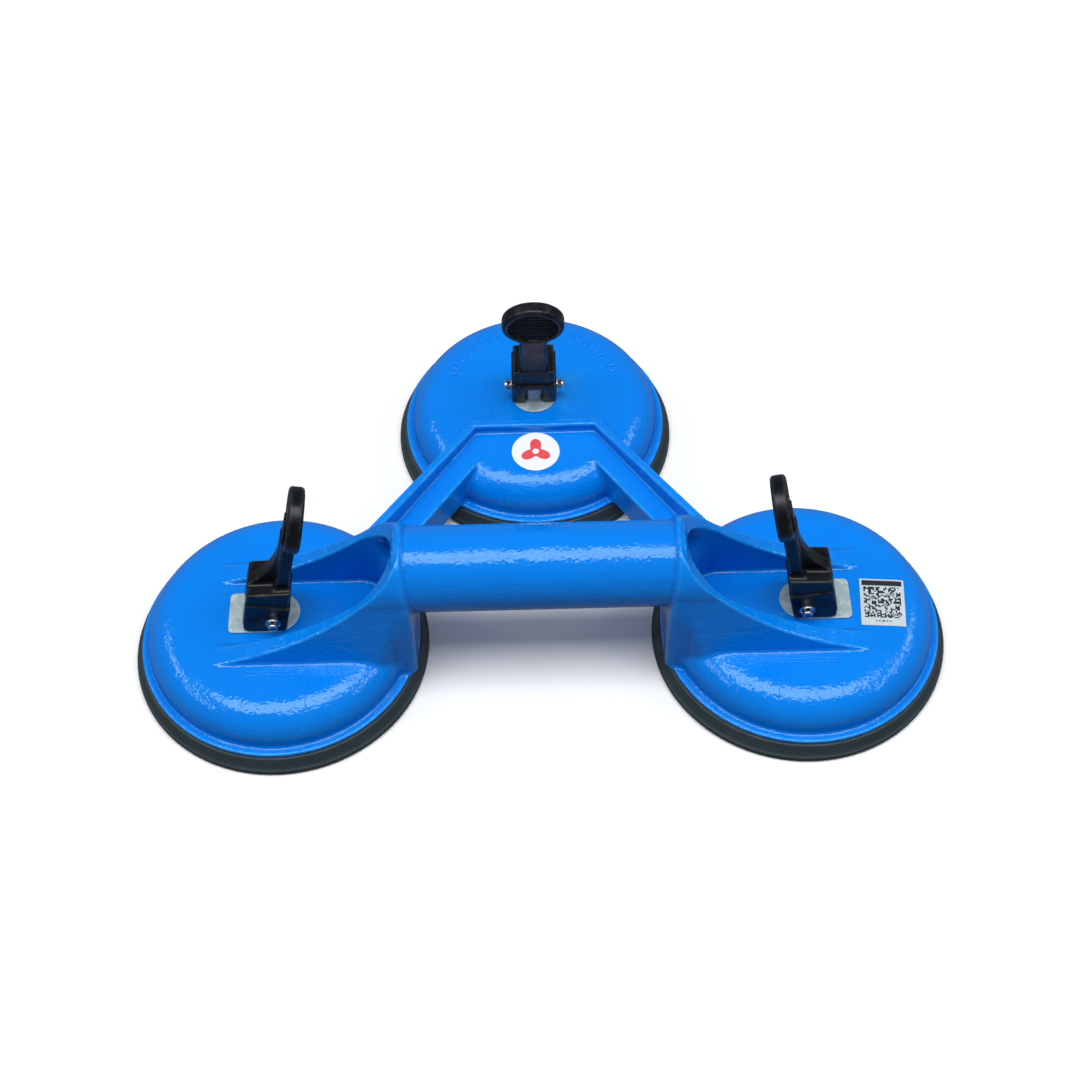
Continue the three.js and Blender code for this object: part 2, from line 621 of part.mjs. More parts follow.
// A thin skin over the dome, cut to the label's rectangle, so it bends over the shoulder.
function codeLabel() {
  const [, right] = CUPS;
  const shoulderZ = DOME_TOP - SHOULDER_RADIUS;
  const shell = (lift) => {
    const profile = new THREE.Shape();
    profile.moveTo(0, shoulderZ);
    profile.lineTo(DOME_RADIUS + lift, shoulderZ);
    profile.absarc(DOME_FLAT_RADIUS, shoulderZ, SHOULDER_RADIUS + lift, 0, Math.PI / 2);
    profile.lineTo(0, DOME_TOP + lift);
    return turned(profile);
  };
  const skin = cut(shell(GAP + LABEL_THICKNESS), shell(GAP));
  const rectangle = block(CODE_LABEL_WIDTH, CODE_LABEL_LENGTH, DOME_TOP, 0, 0, DOME_TOP);
  const turn = THREE.MathUtils.radToDeg(CODE_LABEL_TURN);
  const tool = rectangle.rotate([0, 0, turn]).translate([CODE_LABEL_OUT, CODE_LABEL_BACK, 0]);
  return moved(skin.intersect(tool), right.x, right.y);
}

// ---- Assembly -----------------------------------------------------------------------------

const lifter = new THREE.Group();
const add = (name, solid, look) => {
  const mesh = new THREE.Mesh(geometryOf(solid), look.clone());
  mesh.name = name;
  lifter.add(mesh);
};

add("frame_casting", casting(), paint);
add("round_label", roundLabel(), paper);
add("code_label", codeLabel(), paper);
for (const cup of CUPS) {
  const put = (name, solid, look) => add(`${cup.name}_${name}`, placed(solid, cup), look);
  put("suction_pad", pad(), rubber);
  put("pad_insert", padInsert(), zinc);
  put("wear_plate", wearPlate(), zinc);
  put("pull_stud", pullStud(), zinc);
  put("pivot_pin", pivotPin(), zinc);
  put("pin_clip_near", pinClip(-1), zinc);
  put("pin_clip_far", pinClip(1), zinc);
  put("lever", lever(), plastic);
}

export default lifter;
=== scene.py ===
import math

import bmesh
import bpy
import numpy as np
from mathutils import Matrix, Vector


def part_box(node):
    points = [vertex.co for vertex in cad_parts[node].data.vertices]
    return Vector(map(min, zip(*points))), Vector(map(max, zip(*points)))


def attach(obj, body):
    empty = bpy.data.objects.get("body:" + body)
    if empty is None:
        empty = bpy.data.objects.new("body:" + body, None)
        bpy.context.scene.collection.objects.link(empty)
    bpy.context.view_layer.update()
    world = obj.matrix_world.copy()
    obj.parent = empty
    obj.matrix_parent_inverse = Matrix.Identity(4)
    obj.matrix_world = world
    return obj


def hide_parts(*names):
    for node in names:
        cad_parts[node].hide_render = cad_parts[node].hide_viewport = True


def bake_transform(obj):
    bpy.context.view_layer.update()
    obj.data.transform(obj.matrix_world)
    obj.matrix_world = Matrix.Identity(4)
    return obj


# The looks of a triple suction lifter. Shapes are worked out in millimetres, in the frame's axes,
# and turned into metres when they become meshes.

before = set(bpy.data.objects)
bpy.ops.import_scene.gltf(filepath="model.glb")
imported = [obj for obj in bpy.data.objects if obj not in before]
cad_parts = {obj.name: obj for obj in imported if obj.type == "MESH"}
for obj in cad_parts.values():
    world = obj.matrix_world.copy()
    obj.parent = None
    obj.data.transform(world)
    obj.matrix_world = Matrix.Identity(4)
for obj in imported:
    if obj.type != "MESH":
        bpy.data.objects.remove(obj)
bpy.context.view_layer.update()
MM = 0.001


def cad(node):
    """Lowest corner, highest corner and middle of a CAD node, in millimetres."""
    low, high = (np.array(corner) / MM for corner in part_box(node))
    return low, high, (low + high) / 2


# ---- Places and sizes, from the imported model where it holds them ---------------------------

CUPS = {"left": 0.0, "right": math.pi, "rear": -math.pi / 2}  # which way each cup's inside points
CENTRES = {cup: cad(f"{cup}_pad_insert")[2][:2] for cup in CUPS}
FRONT_X, FRONT_Y = CENTRES["right"]
REAR_Y = CENTRES["rear"][1]
CAST_LOW, CAST_HIGH, _ = cad("frame_casting")
FLANGE_BOTTOM = CAST_LOW[2]
FLANGE_R = CAST_HIGH[0] - FRONT_X
PLATE_LOW, PLATE_HIGH, _ = cad("left_wear_plate")
PAD_LOW, PAD_HIGH, _ = cad("left_suction_pad")
PAD_R = (PAD_HIGH[0] - PAD_LOW[0]) / 2
PIN_LOW, PIN_HIGH, PIN_MIDDLE = cad("left_pivot_pin")
PIN_Z = PIN_MIDDLE[2]
LABEL_LOW, LABEL_HIGH, LABEL_MIDDLE = cad("round_label")
CODE_MIDDLE = cad("code_label")[2]

REST_GAP = 0.15  # between pieces that rest on each other
FLANGE_THICK = 1.8
FLANGE_LIP = 0.7  # rounding of its rim
DOME_R = FLANGE_R - 3.7
DOME_TOP = PLATE_LOW[2] - REST_GAP
WALL = 4.0
SHOULDER_WIDE = 14.5
SHOULDER_DEEP = 12.0
BOSS_R = 9.0
BOSS_DEEP = 2.5
STUD_HOLE_HALF = 3.5

BAR_R = 17.0
BORE_R = 12.5
COLLAR_R = 18.6
AXIS_Z = CAST_HIGH[2] - COLLAR_R
NECK_X = FRONT_X - FLANGE_R + 0.3
NECK_CORNER = 4.5
NECK_HALF = 20.3
COLLAR_X = NECK_X + 4.0
RISER_BASE_HALF = 24.0
RISER_TIP_X = FRONT_X + 25.1
SWEEP_R = 117.0
SCOOP_HALF = 15.5
SCOOP_END_WALL = 4.5
SCOOP_END_X = COLLAR_X + SCOOP_END_WALL + SCOOP_HALF  # middle of its round end

RIB = 3.8
RIB_RISE = 4.1  # over the dome top at the rear
RIB_SLOPE = 0.0791
ARM_BOTTOM = 10.0
FLOOR_EDGE = 25.5
FLOOR_WIDTH = 12.4
REAR_RIB_Y = REAR_Y - 19.7
ARM_SLOPE = 1.41


# ---- Distance fields -----------------------------------------------------------------------

def meet(a, b, k):
    """Where both are inside, with the edge between them rounded over about k."""
    h = np.maximum(k - np.abs(a - b), 0) / k
    return np.maximum(a, b) + h * h * k / 4


def fuse(a, b, k):
    """Both together, with a fillet of about k where they meet."""
    return -meet(-a, -b, k)


def carve(a, b, k):
    """a with b taken away."""
    return meet(a, -b, k)


def field_mesh(field, low, high, cell, mirrored=False):
    """Vertices and quads of the surface where field is zero, on a grid of cells over a box.
    A mirrored field is worked out on its right-hand half and copied to the left."""
    sizes = [int(math.ceil((h - l) / cell)) + 1 for l, h in zip(low, high)]
    axes = [l + cell * np.arange(n) for l, n in zip(low, sizes)]
    x, y, z = (a.reshape(s).astype(np.float32) for a, s in zip(axes, ((-1, 1, 1), (1, -1, 1), (1, 1, -1))))
    values = np.broadcast_to(field(x, y, z), sizes).astype(np.float32)
    if mirrored:
        values = np.concatenate((values[:0:-1], values))
        axes[0] = np.concatenate((-axes[0][:0:-1], axes[0]))
    inside = values < 0
    n = np.array(values.shape) - 1
    count = np.zeros(n, np.int8)
    for i in (0, 1):
        for j in (0, 1):
            for k in (0, 1):
                count += inside[i:n[0] + i, j:n[1] + j, k:n[2] + k]
    cells = np.argwhere((count > 0) & (count < 8))
    index = np.full(n, -1, np.int32)
    index[tuple(cells.T)] = np.arange(len(cells))
    total = np.zeros((len(cells), 3))
    hits = np.zeros(len(cells))
    for axis in range(3):
        along = np.eye(3, dtype=int)[axis]
        others = [a for a in range(3) if a != axis]
        for p in (0, 1):
            for q in (0, 1):
                start = np.zeros(3, int)
                start[others[0]], start[others[1]] = p, q
                a = values[tuple((cells + start).T)]
                b = values[tuple((cells + start + along).T)]
                crossed = (a < 0) != (b < 0)
                share = np.where(crossed, a / np.where(crossed, a - b, 1), 0)
                total += (start + share[:, None] * along) * crossed[:, None]
                hits += crossed
    origin = np.array([a[0] for a in axes])
    points = origin + cell * (cells + total / hits[:, None])
    quads = []
    for axis in range(3):
        u, v = ((1, 2), (2, 0), (0, 1))[axis]
        first = np.take(inside, range(0, n[axis]), axis)
        second = np.take(inside, range(1, n[axis] + 1), axis)
        edges = np.argwhere(first != second)
        edges = edges[(edges[:, u] > 0) & (edges[:, u] < n[u]) & (edges[:, v] > 0) & (edges[:, v] < n[v])]
        out = first[tuple(edges.T)]
        du, dv = np.eye(3, dtype=int)[u], np.eye(3, dtype=int)[v]
        ring = np.stack([index[tuple((edges - s).T)] for s in (0 * du, du, du + dv, dv)], 1)
        quads.append(np.where(out[:, None], ring, ring[:, ::-1]))
    return settle(field, points, cell, mirrored), np.concatenate(quads)


def gradient(field, points, step, mirrored):
    """Slope of the field at each point."""
    columns = []
    for axis in range(3):
        ends = []
        for sign in (1, -1):
            p = points.copy()
            p[:, axis] += sign * step
            ends.append(sample(field, p, mirrored))
        columns.append((ends[0] - ends[1]) / (2 * step))
    return np.stack(columns, 1)


def sample(field, points, mirrored=False):
    """The field at each point."""
    x, y, z = points.T
    return field(np.abs(x) if mirrored else x, y, z)


def settle(field, points, cell, mirrored):
    """Moves points onto the surface, each by no more than half a cell."""
    moved = points.copy()
    for _ in range(3):
        slope = gradient(field, moved, 0.05 * cell, mirrored)
        steep = np.maximum((slope ** 2).sum(1), 0.05)
        moved -= slope * (sample(field, moved, mirrored) / steep)[:, None]
        away = moved - points
        length = np.linalg.norm(away, axis=1)[:, None]
        moved = points + away * np.minimum(1, 0.5 * cell / np.maximum(length, 1e-9))
    return moved


def bend(field, points, step, mirrored=False):
    """How sharply the surface turns at each point: above zero on outside edges, below in corners."""
    total = -6 * sample(field, points, mirrored)
    for axis in range(3):
        for sign in (1, -1):
            p = points.copy()
            p[:, axis] += sign * step
            total += sample(field, p, mirrored)
    return total / step ** 2


# ---- Meshes --------------------------------------------------------------------------------

def mesh_piece(name, points, faces, material, body, replaced=(), smooth=True, ride=True):
    """A visible piece from points in millimetres, on a body, in place of some CAD nodes."""
    mesh = bpy.data.meshes.new(name)
    mesh.from_pydata((np.asarray(points) * MM).tolist(), [], [list(map(int, f)) for f in faces])
    mesh.update()
    for one in material if isinstance(material, (list, tuple)) else [material]:
        mesh.materials.append(one)
    mesh.polygons.foreach_set("use_smooth", [smooth] * len(mesh.polygons))
    piece = bpy.data.objects.new(name, mesh)
    bpy.context.scene.collection.objects.link(piece)
    if ride:
        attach(piece, body)
    if replaced:
        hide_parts(*replaced)
    return piece


def modified(piece, kind, **settings):
    """Applies one modifier to a piece's mesh."""
    modifier = piece.modifiers.new(kind, kind)
    for key, value in settings.items():
        setattr(modifier, key, value)
    graph = bpy.context.evaluated_depsgraph_get()
    mesh = bpy.data.meshes.new_from_object(piece.evaluated_get(graph))
    piece.modifiers.clear()
    old, piece.data = piece.data, mesh
    bpy.data.meshes.remove(old)
    return piece


def points_of(piece):
    co = np.empty(len(piece.data.vertices) * 3)
    piece.data.vertices.foreach_get("co", co)
    return co.reshape(-1, 3) / MM


def set_points(piece, points):
    piece.data.vertices.foreach_set("co", (points * MM).ravel())
    piece.data.update()


def mark_points(piece, name, values):
    attribute = piece.data.attributes.new(name, "FLOAT", "POINT")
    attribute.data.foreach_set("value", np.asarray(values, np.float32))


def finish_field(piece, field, cell, ratio, mirrored=False):
    """Thins a field's mesh, puts its points back on the surface and gives it true normals."""
    modified(piece, "DECIMATE", ratio=ratio)
    points = settle(field, points_of(piece), cell, mirrored)
    set_points(piece, points)
    mark_points(piece, "edge", np.clip(bend(field, points, 0.8 * cell, mirrored), -1, 1))
    normals = gradient(field, points, 0.1 * cell, mirrored)
    normals /= np.maximum(np.linalg.norm(normals, axis=1)[:, None], 1e-9)
    piece.data.polygons.foreach_set("use_smooth", [True] * len(piece.data.polygons))
    piece.data.normals_split_custom_set_from_vertices(normals.tolist())
    return piece


def lathe(profile, sides):
    """Points and quads of a profile of (radius, height) turned about Z, from axis to axis."""
    angles = 2 * math.pi * np.arange(sides) / sides
    inner = profile[1:-1]
    points = [(r * math.cos(a), r * math.sin(a), z) for r, z in inner for a in angles]
    faces = []
    for i in range(len(inner) - 1):
        for j in range(sides):
            k = (j + 1) % sides
            faces.append((i * sides + j, i * sides + k, (i + 1) * sides + k, (i + 1) * sides + j))
    for end, row, flip in ((profile[0], 0, True), (profile[-1], len(inner) - 1, False)):
        points.append((0, 0, end[1]))
        hub = len(points) - 1
        for j in range(sides):
            pair = (row * sides + j, row * sides + (j + 1) % sides)
            faces.append((hub, *(reversed(pair) if flip else pair)))
    return np.array(points, float), faces


def rounded(corners, steps=4):
    """A profile whose corners, given as (radius, height, rounding), are turned into short arcs."""
    result = []
    for i, (r, z, fillet) in enumerate(corners):
        here = np.array((r, z), float)
        if not fillet:
            result.append(tuple(here))
            continue
        before = np.array(corners[i - 1][:2]) - here
        after = np.array(corners[(i + 1) % len(corners)][:2]) - here
        a = here + before / np.linalg.norm(before) * fillet
        b = here + after / np.linalg.norm(after) * fillet
        for t in np.linspace(0, 1, steps + 1):
            result.append(tuple((1 - t) ** 2 * a + 2 * t * (1 - t) * here + t * t * b))
    return result


def slab(outline, low, high, bevel, steps=2):
    """A flat plate with an outline seen from above and bevelled rims; returns points and faces."""
    count = len(outline)
    outline = np.array(outline, float)
    following = np.roll(outline, -1, 0) - outline
    previous = outline - np.roll(outline, 1, 0)
    normals = []
    for a, b in zip(previous, following):
        n = np.array((a[1], -a[0])) / np.linalg.norm(a) + np.array((b[1], -b[0])) / np.linalg.norm(b)
        normals.append(n / np.linalg.norm(n))
    normals = np.array(normals)
    levels = []
    for t in np.linspace(0, math.pi / 2, steps + 1):
        levels.append((bevel * (1 - math.sin(t)), low + bevel * (1 - math.cos(t))))
    levels += [(inset, low + high - z) for inset, z in reversed(levels)]
    points = [(*(p - n * inset), z) for inset, z in levels for p, n in zip(outline, normals)]
    faces = []
    for i in range(len(levels) - 1):
        for j in range(count):
            k = (j + 1) % count
            faces.append((i * count + j, i * count + k, (i + 1) * count + k, (i + 1) * count + j))
    faces.append(tuple(reversed(range(count))))
    faces.append(tuple((len(levels) - 1) * count + j for j in range(count)))
    return np.array(points), faces


def at_cup(points, cup):
    """Points built at the origin with +X pointing inward, moved to a cup's place."""
    c, s = math.cos(CUPS[cup]), math.sin(CUPS[cup])
    x, y, z = np.asarray(points, float).T
    cx, cy = CENTRES[cup]
    return np.stack((c * x - s * y + cx, s * x + c * y + cy, z), 1)


# ---- Casting -------------------------------------------------------------------------------

def dome(x, y, z, inset=0.0):
    """Inside a flat-topped dome with an elliptical shoulder, without its underside."""
    wide, deep = SHOULDER_WIDE - inset, SHOULDER_DEEP - inset
    out = np.maximum(np.hypot(x, y) - (DOME_R - SHOULDER_WIDE), 0) / wide
    up = np.maximum(z - (DOME_TOP - SHOULDER_DEEP), 0) / deep
    return (np.hypot(out, up) - 1) * deep


def dome_height(r):
    """Height of a dome's skin at a distance from its axis."""
    out = np.clip((r - (DOME_R - SHOULDER_WIDE)) / SHOULDER_WIDE, 0, 1)
    return DOME_TOP - SHOULDER_DEEP * (1 - np.sqrt(1 - out * out))


def round_cornered(a, b, radius):
    """Inside both, with an exact round of the given radius between them."""
    a, b = a + radius, b + radius
    return np.hypot(np.maximum(a, 0), np.maximum(b, 0)) + np.minimum(np.maximum(a, b), 0) - radius


def cup_body(x, y, z):
    """A dome with its flange."""
    half = FLANGE_THICK / 2
    flange = round_cornered(np.hypot(x, y) - FLANGE_R, np.abs(z - FLANGE_BOTTOM - half) - half, FLANGE_LIP)
    return meet(fuse(dome(x, y, z), flange, 1.4), FLANGE_BOTTOM - z, 0.3)


def cup_hollow(x, y, z):
    """The space under a dome, round the boss that guides the stud."""
    boss = meet(np.hypot(x, y) - BOSS_R, DOME_TOP - WALL - BOSS_DEEP - z, 0.5)
    return carve(dome(x, y, z, WALL), boss, 1)


def riser_walls(x, y, z):
    """The outside of a riser: arched over the bar's axis, splayed below it, necked towards the middle."""
    side = np.abs(y)
    spread = (RISER_BASE_HALF - COLLAR_R) / (AXIS_Z - DOME_TOP)
    flank = (side - COLLAR_R - spread * (AXIS_Z - z)) / math.hypot(1, spread)
    arch = np.where(z > AXIS_Z, np.hypot(side, z - AXIS_Z) - COLLAR_R, flank)
    under_bar = np.clip((z - AXIS_Z + BAR_R) / 8.5, 0, 1)
    lean = 3 * np.clip((z - AXIS_Z + 8.5) / 27.1, 0, 1)
    widening = 0.65 * np.maximum(x - NECK_X - 2 * NECK_CORNER, 0)
    widening += 0.18 * np.clip(x - NECK_X - NECK_CORNER, 0, NECK_CORNER)
    neck = round_cornered(NECK_X - x, side - NECK_HALF - widening, NECK_CORNER)
    walls = meet(meet(arch, NECK_X + under_bar + lean - x, 1.8), neck, 1.5)
    past_tips = x - RISER_TIP_X - 7
    return np.maximum(np.maximum(walls, FLANGE_BOTTOM - z), past_tips)


def sweep(x, z):
    """Inside below the concave cut that runs from the fin tips up to the collar."""
    tip = np.array((RISER_TIP_X, DOME_TOP))
    top = np.array((COLLAR_X, AXIS_Z + COLLAR_R))
    chord = top - tip
    across = np.array((chord[1], -chord[0])) / np.linalg.norm(chord)
    cx, cz = (tip + top) / 2 + across * math.sqrt(SWEEP_R ** 2 - chord @ chord / 4)
    return SWEEP_R - np.hypot(x - cx, z - cz)


def scoop(x, y, z):
    """The open hollow in a riser, down to the dome top."""
    plan = np.hypot(np.minimum(x - SCOOP_END_X, 0), y) - SCOOP_HALF
    return meet(plan, DOME_TOP - z, 1.8)


def rear_arm(domes, x, y, z):
    """Everything rearward of a riser: the domes with the channelled floor, its rib and the cross rib."""
    turn = math.hypot(1, 1 / ARM_SLOPE)
    out = (x - FLOOR_EDGE - (REAR_RIB_Y - y) / ARM_SLOPE) / turn
    width = FLOOR_WIDTH / turn
    ahead = FRONT_Y + SCOOP_HALF - y
    floor = np.maximum(np.maximum(out - 0.5, -width - out), np.maximum(y - REAR_RIB_Y, ahead))
    channel = np.maximum(np.maximum(out + 0.2, WALL - width - out), z - DOME_TOP + WALL)
    floor = np.maximum(carve(floor, channel, 1), ARM_BOTTOM - z)
    floor = meet(fuse(domes, floor, 2), z - DOME_TOP, 1.3)
    body = np.minimum(domes, floor)
    top = DOME_TOP + RIB_RISE + RIB_SLOPE * np.maximum(REAR_RIB_Y - y, 0)
    rib = meet(np.abs(out - RIB / 2) - RIB / 2, z - top, 1.3)
    rib = meet(np.maximum(rib, np.maximum(ARM_BOTTOM - z, ahead)), y - REAR_RIB_Y - RIB, 1)
    cross = meet(np.abs(y - REAR_RIB_Y - RIB / 2) - RIB / 2, z - top, 1.3)
    cross = np.maximum(np.maximum(cross, out - RIB / 2), DOME_TOP - WALL - z)
    return fuse(body, fuse(rib, cross, 0.8), 1.8)


def casting(x, y, z):
    """The whole frame on its right-hand side."""
    fx, fy, ry = x - FRONT_X, y - FRONT_Y, y - REAR_Y
    body = rear_arm(np.minimum(cup_body(fx, fy, z), cup_body(x, ry, z)), x, y, z)
    risers = meet(fuse(body, riser_walls(x, fy, z), 1.6), sweep(x, z), 0.8)
    body = np.minimum(body, carve(risers, scoop(x, fy, z), 1.1))
    pipe = np.hypot(fy, z - AXIS_Z)
    body = fuse(body, np.maximum(pipe - BAR_R, x - COLLAR_X - 3), 1.8)
    body = carve(body, np.maximum(pipe - BORE_R, x - SCOOP_END_X), 1.6)
    hollows = np.minimum(cup_hollow(fx, fy, z), cup_hollow(x, ry, z))
    body = carve(body, hollows, 0.5)
    for hx, hy in ((fx, fy), (x, ry)):
        body = np.maximum(body, STUD_HOLE_HALF - np.maximum(np.abs(hx), np.abs(hy)))
    return body


def build_casting(paint):
    """The painted frame, worked out on one side and mirrored."""
    cell = 0.85
    margin = 2.2 * cell
    low = (0.0, CAST_LOW[1] - margin, CAST_LOW[2] - margin)
    high = CAST_HIGH + margin
    points, quads = field_mesh(casting, low, high, cell, mirrored=True)
    piece = mesh_piece("frame_body", points, quads, paint, "frame", ("frame_casting",))
    return finish_field(piece, casting, cell, 0.4, mirrored=True)


# ---- Lever, with the pin's axis at the origin and +X inward -------------------------------

LEAN = math.radians(12)
LEVER_HALF = 9.6
CAM_LOW = PIN_Z - PLATE_HIGH[2] - REST_GAP
CAM_HIGH = CAM_LOW + 5.2
BLOCK_INNER = 5.9  # the block's inner face, from the pin
BLOCK_STEP = 9.4  # top of its wider lower part
BLOCK_TOP = 14.6  # at its outer face, sloping up from there
SHANK_HALF = 5.8
SHANK_MIDDLE = 1.5
SHANK_THICK = 5.4
WEB_HALF = 2.6
WEB_TOP = 43.5
WEB_RUN = 28.5
PADDLE_ALONG = 56.0
PADDLE_R = 12.8
PADDLE_MIDDLE = 2.4
PADDLE_HALF = 3.0
GRIP_PITCH = 2.15
BORE_HALF = 2.1
FORK_HALF = 4.0


def lever_block(along, across, side, z):
    """The cam block: a wide lower part, a narrower top with a sloping lid, and a pocket for the shank."""
    outer = REST_GAP - across - CAM_HIGH
    cheeks = meet(meet(-CAM_LOW - z, outer, 4.2), across - BLOCK_INNER, 1.2)
    lower = meet(meet(cheeks, along - BLOCK_STEP, 0.9), side - LEVER_HALF, 0.9)
    lid = (along - BLOCK_TOP - 0.247 * (across + CAM_HIGH)) * 0.97
    upper = meet(meet(cheeks, lid, 1.1), across - BLOCK_INNER + 1, 0.9)
    upper = meet(upper, side - LEVER_HALF + 0.8, 0.9)
    face = SHANK_MIDDLE + SHANK_THICK / 2
    pocket = meet(meet(side - SHANK_HALF, face - across, 0.8), 7.6 - along, 0.8)
    return carve(fuse(lower, upper, 0.5), pocket, 0.7)


def lever_shank(along, across, side):
    """A flat shank that widens into the block, with a curved web down its outer side."""
    flare = 0.9 * np.clip((20 - along) / 10, 0, 1)
    shank = meet(np.abs(across - SHANK_MIDDLE) - SHANK_THICK / 2, side - SHANK_HALF - flare, 1.2)
    shank = np.maximum(shank, np.maximum(8 - along, along - PADDLE_ALONG))
    run = np.clip((WEB_TOP - along) / WEB_RUN, 0, 1.2)
    web = np.maximum((-1.9 - 9.2 * run ** 2.5 - across) * 0.8, across - 1)
    web = np.maximum(meet(web, side - WEB_HALF, 1), np.maximum(9 - along, along - WEB_TOP - 2.5))
    web = np.maximum(web, 0.9 - CAM_HIGH - across)
    return fuse(shank, web, 1.6)


def lever(x, y, z):
    """The lever at rest, leaning inward: a cam block, a shank and a round paddle with a ribbed dish."""
    along = x * math.sin(LEAN) + z * math.cos(LEAN)
    across = x * math.cos(LEAN) - z * math.sin(LEAN)
    side = np.abs(y)
    a, c = along - PADDLE_ALONG, across - PADDLE_MIDDLE
    r = np.hypot(a, y)
    paddle = round_cornered(r - PADDLE_R, np.abs(c) - PADDLE_HALF, 1.5)
    paddle = fuse(paddle, lever_shank(along, across, side), 1.6)
    ridges = 0.32 * np.cos(2 * math.pi * a / GRIP_PITCH)
    dish = meet(r - PADDLE_R + 2.6, PADDLE_HALF - 1.35 + ridges - c, 0.8)
    paddle = carve(paddle, dish, 0.8)
    back = meet(r - PADDLE_R + 2.2, c + PADDLE_HALF - 0.5, 0.8)
    paddle = carve(paddle, np.maximum(back, 3.4 - side), 0.6)
    whole = fuse(lever_block(along, across, side, z), paddle, 1.8)
    slot = np.maximum(side - FORK_HALF, z - 4.4 - 0.2126 * np.maximum(-x, 0))
    return np.maximum(carve(whole, slot, 0.5), BORE_HALF - np.hypot(x, z))


def build_levers(plastic):
    """One lever mesh, copied to the three cups."""
    cell = 0.42
    low, high, _ = cad("left_lever")
    centre = np.array((*CENTRES["left"], PIN_Z))
    margin = 2.2 * cell
    points, quads = field_mesh(lever, low - centre - margin, high - centre + margin, cell)
    shape = mesh_piece("lever_shape", points, quads, plastic, None, ride=False)
    finish_field(shape, lever, cell, 0.4)
    for cup in CUPS:
        mesh = shape.data.copy()
        turn = Matrix.Rotation(CUPS[cup], 4, "Z")
        mesh.transform(Matrix.Translation((*(CENTRES[cup] * MM), PIN_Z * MM)) @ turn)
        piece = bpy.data.objects.new(f"{cup}_handle", mesh)
        bpy.context.scene.collection.objects.link(piece)
        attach(piece, f"{cup}_lever_arm")
        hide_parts(f"{cup}_lever")
    bpy.data.objects.remove(shape)


# ---- Pads ----------------------------------------------------------------------------------

PAD_LIP = 9.0
PAD_RECESS = 1.2
PAD_GROOVE = 0.9
PAD_SEAT_R = 25.15  # of the pocket that holds the insert
PAD_SEAT_FLOOR = 4.8


def build_pads(rubber):
    """Rubber discs with a grooved hollow underneath and a stepped rim."""
    height = PAD_HIGH[2]
    inner = PAD_R - PAD_LIP
    corners = [(0, PAD_RECESS, 0)]
    for radius in (inner / 3, 2 * inner / 3):
        for out, up in ((-1.4, 0), (-0.7, PAD_GROOVE), (0.7, PAD_GROOVE), (1.4, 0)):
            corners.append((radius + out, PAD_RECESS + up, 0.3))
    corners += [
        (inner - 1.4, PAD_RECESS, 0.5),
        (inner, 0, 0.5),
        (PAD_R - 0.6, 0, 0.4),
        (PAD_R, 0.7, 0.4),
        (PAD_R, 2.5, 0.6),
        (PAD_R - 1.0, 3.3, 0.5),
        (PAD_R - 2.0, 6.4, 0.9),
        (PAD_R - 2.5, height, 0.7),
        (DOME_R - WALL + 1.0, height, 0.3),
        (DOME_R - WALL - 0.6, height - 0.9, 0.4),
        (34, height - 1.4, 1.5),
        (PAD_SEAT_R + 3, height - 0.2, 1.0),
        (PAD_SEAT_R, height, 0.5),
        (PAD_SEAT_R, PAD_SEAT_FLOOR, 0.3),
        (0, PAD_SEAT_FLOOR, 0),
    ]
    points, faces = lathe(rounded(corners), 128)
    for cup in CUPS:
        replaced = (f"{cup}_suction_pad",)
        placed = at_cup(points, cup)
        piece = mesh_piece(f"{cup}_pad", placed, faces, rubber, None, replaced, ride=False)
        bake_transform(piece)
        radius = np.hypot(points[:, 0], points[:, 1])


# ---- Hardware ------------------------------------------------------------------------------

STUD_BASE = cad("left_pull_stud")[0][2] - PIN_Z
STUD_HALF = 3.0
HUB_R, HUB_TALL = 7.0, 3.0
EYE_R = 3.9
PIN_R = 2.0
GROOVE_R = 1.45
CLIP_R = 3.05
CLIP_MOUTH = 0.62  # half the opening, in radians
PLATE_OUT, PLATE_HALF = 19.0, 9.5
PLATE_CORNER = 2.2


def turned_on_pin(points):
    """Turns points built about Z so that the axis lies along the pin."""
    x, y, z = np.asarray(points, float).T
    return np.stack((x, -z, y + PIN_Z), 1)


def arc(cx, cy, radius, start, end, steps):
    return [(cx + radius * math.cos(t), cy + radius * math.sin(t)) for t in np.linspace(start, end, steps)]


def stud(x, y, z):
    """Hub, square shank and rounded eye, heights from the pin's axis."""
    hub = meet(np.hypot(x, y) - HUB_R, z - STUD_BASE - HUB_TALL, 0.6)
    shank = np.maximum(meet(np.abs(x) - STUD_HALF, np.abs(y) - STUD_HALF, 0.7), z)
    eye = meet(np.hypot(x, z) - EYE_R, np.abs(y) - STUD_HALF, 0.6)
    whole = np.maximum(fuse(hub, fuse(shank, eye, 0.8), 0.8), STUD_BASE - z)
    return np.maximum(whole, BORE_HALF - np.hypot(x, z))


def pin_shape(groove_y):
    """A pin with a clip groove near each chamfered end."""
    half = (PIN_HIGH[1] - PIN_LOW[1]) / 2
    low, high = groove_y - 0.5, groove_y + 0.5
    upper = [(PIN_R, low, 0), (GROOVE_R, low, 0), (GROOVE_R, high, 0), (PIN_R, high, 0)]
    upper += [(PIN_R, half - 0.4, 0.2), (PIN_R - 0.4, half, 0.2), (0, half, 0)]
    return lathe(rounded([(r, -z, f) for r, z, f in reversed(upper)] + upper), 32)


